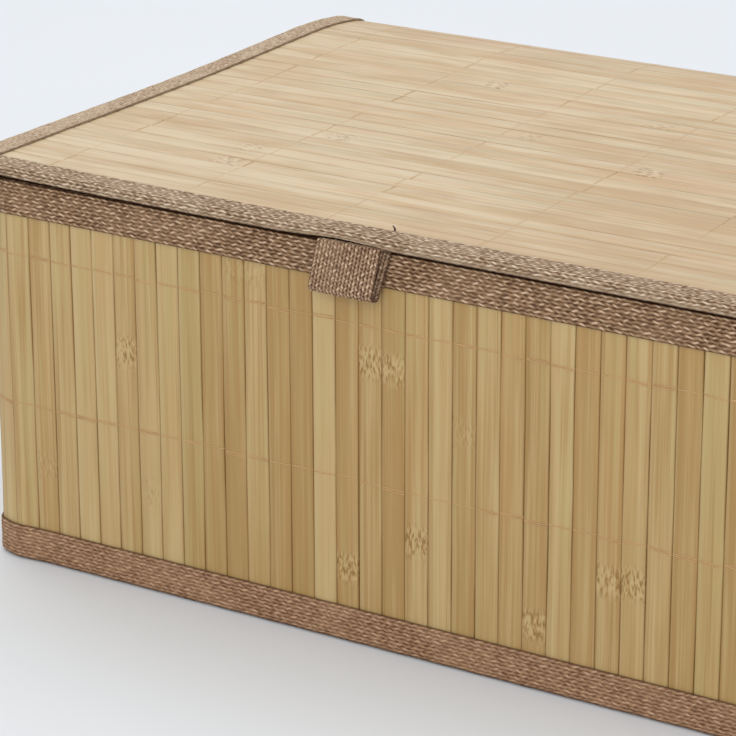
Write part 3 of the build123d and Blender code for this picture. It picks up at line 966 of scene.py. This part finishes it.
# Webbing on the sides of the mat, in one run from the lid's front edge over the rear rim to the hem
side_ends = [(lid_front, mat_line), *rear_seams]
hem_top = step_along(flap_seams[-2], flap_tilts[-1], 0.1 * mm)
upper_line = rounded_line([*side_ends, hinge_seams[1]], rear_seam_radius)
lower_line = rounded_line([*hinge_seams, *flap_seams[1:-1], hem_top], seam_radius)
halfway = (hinge_seams[0] + hinge_seams[1]) / 2
side_line = np.concatenate([upper_line[:-1], [halfway], lower_line[1:]])
side_total = lengths_along(side_line)[-1]
to_lid_seam = lengths_along(upper_line)[-1] - slat_pitch
to_hinge_seam = to_lid_seam + slat_pitch
side_run = np.linspace(0, side_total, round(side_total / path_step) + 1)
side_points, side_normals = sampled(side_line, side_run)
board_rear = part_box("lid_board")[1].y


def side_section(under, board):
    """Section of the side webbing as (outwards, rise). Its lower leg lies under the board or the mat."""
    face = [(side_edge, bound_rise), (lid_half, bound_rise), (lid_half, -under), (side_edge, -under)]
    back = [(side_edge, -board), (lid_half - webbing_thickness, -board),
            (lid_half - webbing_thickness, mat_rise), (side_edge, mat_rise)]
    return face, back


def side_forms():
    """The side webbing's sections at every point of its run, with a deep fold on the lid's board."""
    deep, deep_back = side_section(under_rise, under_rise - webbing_thickness)
    shallow, shallow_back = side_section(webbing_thickness, 0.0)
    face_a, normal_a, across, back_a = band(deep, deep_back, side_fine, lid_fold_radius)
    line_b = rounded_line(shallow, lid_fold_radius)
    face_b, normal_b = sampled(line_b, across * lengths_along(line_b)[-1] / across[-1])
    share = smooth(side_points[:, 0], board_rear, board_rear + 3 * mm)[:, None, None]
    pairs = ((face_a, face_b), (normal_a, normal_b), (back_a, np.array(shallow_back)))
    faces, normals, backs = (a * (1 - share) + b * share for a, b in pairs)
    return faces, normals, across, backs


def side_webbing(name, body, signs, first, last, nodes=(), blend=None):
    """One stretch of the side webbing, on the body that it rides, or on none where it crosses a seam between
    two.
    """
    chosen = np.flatnonzero((side_run >= first - 1e-9) & (side_run <= last + path_step))
    origins, up = (np.insert(v[chosen], 0, 0, axis=1) for v in (side_points, side_normals))
    faces, normals, across, backs = side_forms()
    section = (faces[chosen], normals[chosen], across, backs[chosen])
    shells = Shells()
    for sign in signs:
        sweep(shells, origins, (sign, 0, 0), up, side_run[chosen], section)
    piece = shells.build(name, side_finish, body, nodes, crease=100)
    if blend:
        bend(piece, side_line, *blend)


middle_of_hinge = (to_lid_seam + to_hinge_seam) / 2
side_webbing("lid_right_webbing", "lid", [1], 0, to_lid_seam - bend_reach, ["lid_right_binding"])
side_webbing("lid_left_webbing", "lid", [-1], 0, to_lid_seam - bend_reach, ["lid_left_binding"])
side_webbing("hinge_upper_webbing", None, (1, -1), to_lid_seam - bend_reach, middle_of_hinge,
             ["hinge_bindings"], ("lid", "hinge", to_lid_seam))
side_webbing("hinge_lower_webbing", None, (1, -1), middle_of_hinge, to_hinge_seam + bend_reach,
             blend=("hinge", "box", to_hinge_seam))
side_webbing("flap_side_webbing", "box", (1, -1), to_hinge_seam + bend_reach, side_total, ["flap_bindings"])


def hem_webbing():
    """Webbing folded over the flap's hem."""
    tilt = flap_tilts[-1]
    start = step_along(flap_seams[-2], tilt, 0.2 * mm)
    length = slat_pitch + webbing_thickness
    inside = length - webbing_thickness
    face = [(0, bound_rise), (length, bound_rise), (length, -webbing_thickness), (0, -webbing_thickness)]
    back = [(0, -tuck), (inside, -tuck), (inside, mat_rise + tuck), (0, mat_rise + tuck)]
    path = straight_path(lid_half, *start)
    side, up = (0, *heading(-tilt)), (0, *heading(90 - tilt))
    shells = Shells()
    sweep(shells, path, side, up, path[:, 0] + lid_half, band(face, back, side_fine, lid_fold_radius))
    shells.build("hem_webbing", light_webbing, "box", ["flap_hem"], crease=100)


hem_webbing()

# Pull tab: a loop of the same webbing, which the lid holds at its top
tab_root = np.array((-body_half_y - webbing_thickness - tab_clearance - tab_root_radius,
                     lid_underside - tab_clearance - tab_root_radius))
tab_top = tab_root + np.array((0, tab_rise))
tab_loop = tab_root - tab_length * np.array((sin(tab_lean), cos(tab_lean)))


def tab_outline():
    """The loop as (y, z): an arc round its top and one round its foot, joined by straight sides."""
    length = np.linalg.norm(tab_loop - tab_top)
    down = (tab_loop - tab_top) / length
    left = np.array((down[1], -down[0]))
    slope = np.arcsin((tab_loop_radius - tab_root_radius) / length)
    line = []
    for centre, radius, start, end in (
        (tab_top, tab_root_radius, -slope, pi + slope),
        (tab_loop, tab_loop_radius, pi + slope, 2 * pi - slope),
    ):
        for angle in np.linspace(start, end, 17):
            line.append(centre + radius * (cos(angle) * -left - sin(angle) * down))
    line.append(line[0])
    return np.array(line)


def build_tab():
    """The tab's webbing. Its front layer is a little narrower than its rear one, and both lie aslant."""
    line = tab_outline()
    total = lengths_along(line)[-1]
    picks = round(total / (2 * tab_pitch))
    stations = np.linspace(0, total, picks * 6, endpoint=False)
    points, normals = sampled(np.concatenate([line, line[1:3]]), stations + 0.1 * mm)
    normals *= -np.sign(np.sum(((tab_top + tab_loop) / 2 - points) * normals))
    width = tab_high.x - tab_low.x
    yarns = 2 * round(width / (2 * yarn_pitch))
    across = np.linspace(0, width, 4 * yarns + 1)
    drop = np.clip((tab_top[1] - points[:, 1]) / (tab_top[1] - tab_loop[1]), 0, 1)
    middle = tab_root[0] - drop * (tab_root[0] - tab_loop[0])
    rear = smooth(points[:, 0], middle - 0.5 * mm, middle + 0.5 * mm)
    skew = (1 - drop) * (1.2 + 2.0 * rear) * mm - drop * rear * 0.8 * mm
    narrow = 0.94 + 0.06 * rear
    run = stations * (picks * 2 * pick_pitch / total)
    scaled = across / width * yarns * yarn_pitch
    rows = np.minimum(np.floor(scaled / yarn_pitch + 1e-6), yarns - 1)
    inside = scaled / yarn_pitch - rows - 0.5
    phase = pi * (run[:, None] / pick_pitch + rows + yarn_slant * inside * (1 - 2 * (rows % 2)))
    over = 0.44 + 0.28 * (np.cos(phase) + np.cos(2 * phase))
    fall = tab_relief * (1 - (1 - 4 * inside**2) * (0.4 + 0.6 * over))
    depth = np.concatenate([fall, np.full((len(stations), 6), tab_thickness)], 1)
    rings = np.empty((*depth.shape, 3))
    rings[..., 0] = np.concatenate([across, np.linspace(width, 0, 6)]) * narrow[:, None] + skew[:, None]
    rings[..., 0] += tab_low.x
    rings[..., 1:] = points[:, None] - normals[:, None] * depth[..., None]
    hollow = np.concatenate([np.zeros(len(across)), np.ones(6)])
    scaled = np.concatenate([scaled, np.linspace(scaled[-1], 0, 6)])
    shells = Shells()
    # Painted shade: the loop's inner face is darkened where it lies in the loop's own shade.
    shells.add(rings, True, along=run[:, None], across=scaled, crevice=0.25 * hollow)
    piece = shells.build("tab_webbing", tab_finish, None, ["pull_tab"], crease=100)
    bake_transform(piece)


build_tab()


def strand(shells, line, radii, along, first_way, second_way):
    """A round thread along a line of points. Its section lies in two ways."""
    angles = np.arange(6) * pi / 3
    ring = np.cos(angles)[:, None] * first_way + np.sin(angles)[:, None] * second_way
    shells.add(line[:, None] + ring * radii, along=along[:, None], across=angles)


def stitch(shells, rng, start, end, out, rise, sideways, radius, offset_start, offset_end):
    """One stitch over a slat, from the seam at start to the seam at end."""
    shares = np.array([0, 0.03, 0.07, 0.14, 0.3, 0.5, 0.7, 0.86, 0.93, 0.97, 1.0])
    start, end, out, sideways = (np.asarray(v, float) for v in (start, end, out, sideways))
    height = rise - stitch_dip * np.abs(2 * shares - 1) ** 14
    offset = offset_start + (offset_end - offset_start) * shares
    offset = offset + wander(rng, shares * mm, stitch_waver, 1.1 * mm)
    line = start + (end - start) * shares[:, None] + out * height[:, None] + sideways * offset[:, None]
    strand(shells, line, radius, shares * np.linalg.norm(end - start) + rng.random(), out, sideways)


def stitch_pair(shells, rng, *place):
    """One stitch, or by chance two side by side. The place is what a stitch takes, from start to radius."""
    first = rng.normal(0, stitch_shift)
    second = first + rng.normal(0, stitch_slant)
    stitch(shells, rng, *place, first, second)
    if rng.random() < 0.5:
        apart = thread_pair * rng.uniform(0.7, 1.6) * (1 if rng.random() < 0.7 else -1)
        first -= apart * rng.random()
        stitch(shells, rng, *place, first, second - apart)


def wall_stitches():
    """Two rows of stitches round the walls, one or two to a slat."""
    rng = np.random.default_rng(81)
    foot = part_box("wall_threads")[0].z + 0.3 * mm
    spans = []
    for side, start, step, out, count in walls:
        for i in range(count):
            first = start + np.array(step) * i * slat_pitch
            spans.append((first, first + np.array(step) * slat_pitch, out))
    for signs in ((1, 1), (-1, 1), (-1, -1), (1, -1)):
        centre = np.array(signs) * (straight_x, straight_y)
        turns = [signs * heading(turn) for turn in (0, 45, 90)]
        for a, b in zip(turns, turns[1:]):
            out = (a + b) / np.linalg.norm(a + b)
            spans.append((centre + a * corner_radius, centre + b * corner_radius, out))
    shells = Shells()
    for row in (foot, foot + wall_thread_spacing):
        for first, second, out in spans:
            stitch_pair(shells, rng, (*first, row), (*second, row), (*out, 0), -thread_sink, (0, 0, 1),
                        thread_radius)
    shells.build("wall_stitches", wall_thread, "box", ["wall_threads"], crease=80)


def mat_stitches(name, node, body, seams, tilts, seed, skip=0, inset=0.0):
    """Rows of stitches over one run of the lid's mat, at each place where a thread crosses it."""
    rng = np.random.default_rng(seed)
    low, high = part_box("lid_threads")
    rise = backing_thickness + slat_thickness - thread_sink
    shells = Shells()
    for i in range(round((high.x - low.x) / mat_thread_spacing) + 1):
        x = low.x + 0.3 * mm + i * mat_thread_spacing
        for seam, tilt in list(zip(seams, tilts))[skip:]:
            start = (x, *step_along(seam, tilt, inset))
            end = (x, *step_along(seam, tilt, slat_pitch - inset))
            out = (0, *heading(90 - tilt))
            stitch_pair(shells, rng, start, end, out, rise, (1, 0, 0), mat_thread_radius)
    shells.build(name, lid_thread, body, [node], crease=80)


wall_stitches()
mat_stitches("lid_stitches", "lid_threads", "lid", [*lid_seams[:-1], *rear_seams[:-1]],
             [*lid_tilts, *lid_rear_tilts], 82, 1)
mat_stitches("hinge_stitches", "hinge_threads", "hinge", hinge_seams[:-1], (hinge_tilt,), 83,
             inset=seam_inset)
mat_stitches("flap_stitches", "flap_threads", "box", flap_seams[:-2], flap_tilts[:-1], 84, inset=seam_inset)


def loose_thread():
    """A loose end of sewing thread that stands up at the inner edge of the lid's front webbing."""
    foot = np.array((9.4 * mm, front_band_high.y - 0.2 * mm, lid_top - 0.5 * mm))
    shares = np.linspace(0, 1, 9)
    curl = np.stack([1.1 * shares - 2.2 * shares**2, 0.8 * shares**3, 2.6 * shares - shares**2], -1) * mm
    radii = 0.36 * mm * (1 - 0.5 * shares**3)[:, None, None]
    shells = Shells()
    strand(shells, foot + curl, radii, shares * 2 * mm, np.array((1, 0, 0)), np.array((0, 1, 0)))
    shells.build("loose_thread_end", dark_thread, "lid", [], crease=80)


loose_thread()


def flat_sheet(name, node, inset, material):
    """Cloth over or under the base, as wide as the walls leave it."""
    low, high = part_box(node)
    around, away = wall_stations(4 * mm)[:2]
    outline = around - away * inset
    rings = []
    for scale, level in ((0.02, low), (0.5, low), (1.0, low), (1.0, high), (0.5, high), (0.02, high)):
        rings.append(np.insert(outline * scale, 2, level.z, axis=1))
    shells = Shells()
    shells.add(np.array(rings))
    piece = shells.build(name, material, "box", [node], crease=40)


flat_sheet("base_lining_cloth", "base_lining", body_half_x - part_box("base_lining")[1].x, lining_cloth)
flat_sheet("base_cover_cloth", "base_cover", 0.1 * mm, cover_cloth)

for node in ("front_board", "rear_board", "left_board", "right_board", "base_board"):
    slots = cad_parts[node].data.materials
    slots.clear()
    slots.append(pressed_board)


def build_camera():
    data = bpy.data.cameras.new("camera")
    data.lens = camera_lens
    data.sensor_width = 36
    data.clip_start = 0.05
    data.clip_end = 50
    camera = linked("camera", data)
    camera.location = camera_place
    turns = ((camera_azimuth, "Z"), (90 - camera_elevation, "X"), (camera_roll, "Z"))
    turn, tip, roll = (Matrix.Rotation(radians(angle), 4, axis) for angle, axis in turns)
    camera.rotation_mode = "QUATERNION"
    camera.rotation_quaternion = (turn @ tip @ roll).to_quaternion()
    bpy.context.scene.camera = camera


def build_world():
    """Even light, with one plain pale colour where the camera, a mirror or glass sees the background."""
    world = bpy.data.worlds.new("world")
    bpy.context.scene.world = world
    world.use_nodes = True
    nodes = Nodes(world.node_tree)
    seen = nodes.node("LightPath", output="Is Camera Ray")
    for ray in ("Is Glossy Ray", "Is Transmission Ray"):
        seen = seen.maths("MAXIMUM", nodes.node("LightPath", output=ray))
    background = nodes.tree.nodes["Background"].inputs
    nodes.feed(background["Color"], nodes.mix(seen, world_light, "E3E6F1"))
    background["Strength"].default_value = 1.0


def build_floor():
    finish = Finish("floor", roughness=0.9, specular=0.1)
    clouds = finish.noise(finish.node("TexCoord", output="Object"), scale=3.0)
    finish.paint(finish.mix(clouds.between(0.3, 0.7), "E5E9EC", "E3E7EA"))
    mesh = bpy.data.meshes.new("floor")
    size = 6
    level = -0.05 * mm
    corners = [(-size, -size, level), (size, -size, level), (size, size, level), (-size, size, level)]
    mesh.from_pydata(corners, [], [(0, 1, 2, 3)])
    mesh.materials.append(finish.material)
    linked("floor", mesh)


def build_lamp(name, place, size, power):
    data = bpy.data.lights.new(name, "AREA")
    data.shape = "SQUARE"
    data.size = size
    data.energy = power
    lamp = linked(name, data)
    lamp.location = place
    lamp.rotation_mode = "QUATERNION"
    lamp.rotation_quaternion = (lamp_aim - Vector(place)).to_track_quat("-Z", "Y")


world_light = [0.78, 0.78, 0.8, 1]
lamp_aim = Vector((0, 0, 0.08))
build_camera()
build_world()
build_floor()
build_lamp("key", (-0.5, 0.5, 1.7), 1.3, 8.5)
build_lamp("fill", (0.6, -1.5, 0.9), 1.2, 9.0)
bpy.context.scene.view_settings.view_transform = "Standard"
